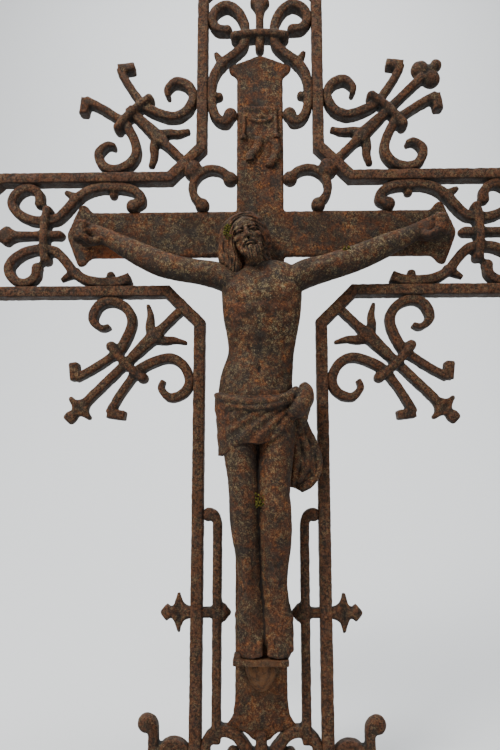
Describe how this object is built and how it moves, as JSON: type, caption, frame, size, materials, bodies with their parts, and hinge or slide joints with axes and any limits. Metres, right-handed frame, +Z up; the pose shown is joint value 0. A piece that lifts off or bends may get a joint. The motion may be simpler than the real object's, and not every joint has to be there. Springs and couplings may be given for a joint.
{
  "type": "openwork iron grave cross",
  "caption": "Openwork cast iron grave cross with scrolled rails, a flat cross board and a crucified figure fixed to its front.",
  "frame": {"origin": "on the ground, under the middle of the shaft, in the underside of the foot bar", "axes": "+Z up the shaft, +X to the viewer's right, the figure faces -Y"},
  "size_m": [0.832, 0.0884, 1.0911],
  "materials": {
    "rusted_iron": "rusted, rough, with orange bloom, grey lichen specks and dark crevices",
    "figure_iron": "rusted and weathered, with grey and ochre lichen crust and a little moss"
  },
  "bodies": {
    "root": {"openwork_cross": "rusted_iron", "corpus": "figure_iron"}
  },
  "joints": []
}
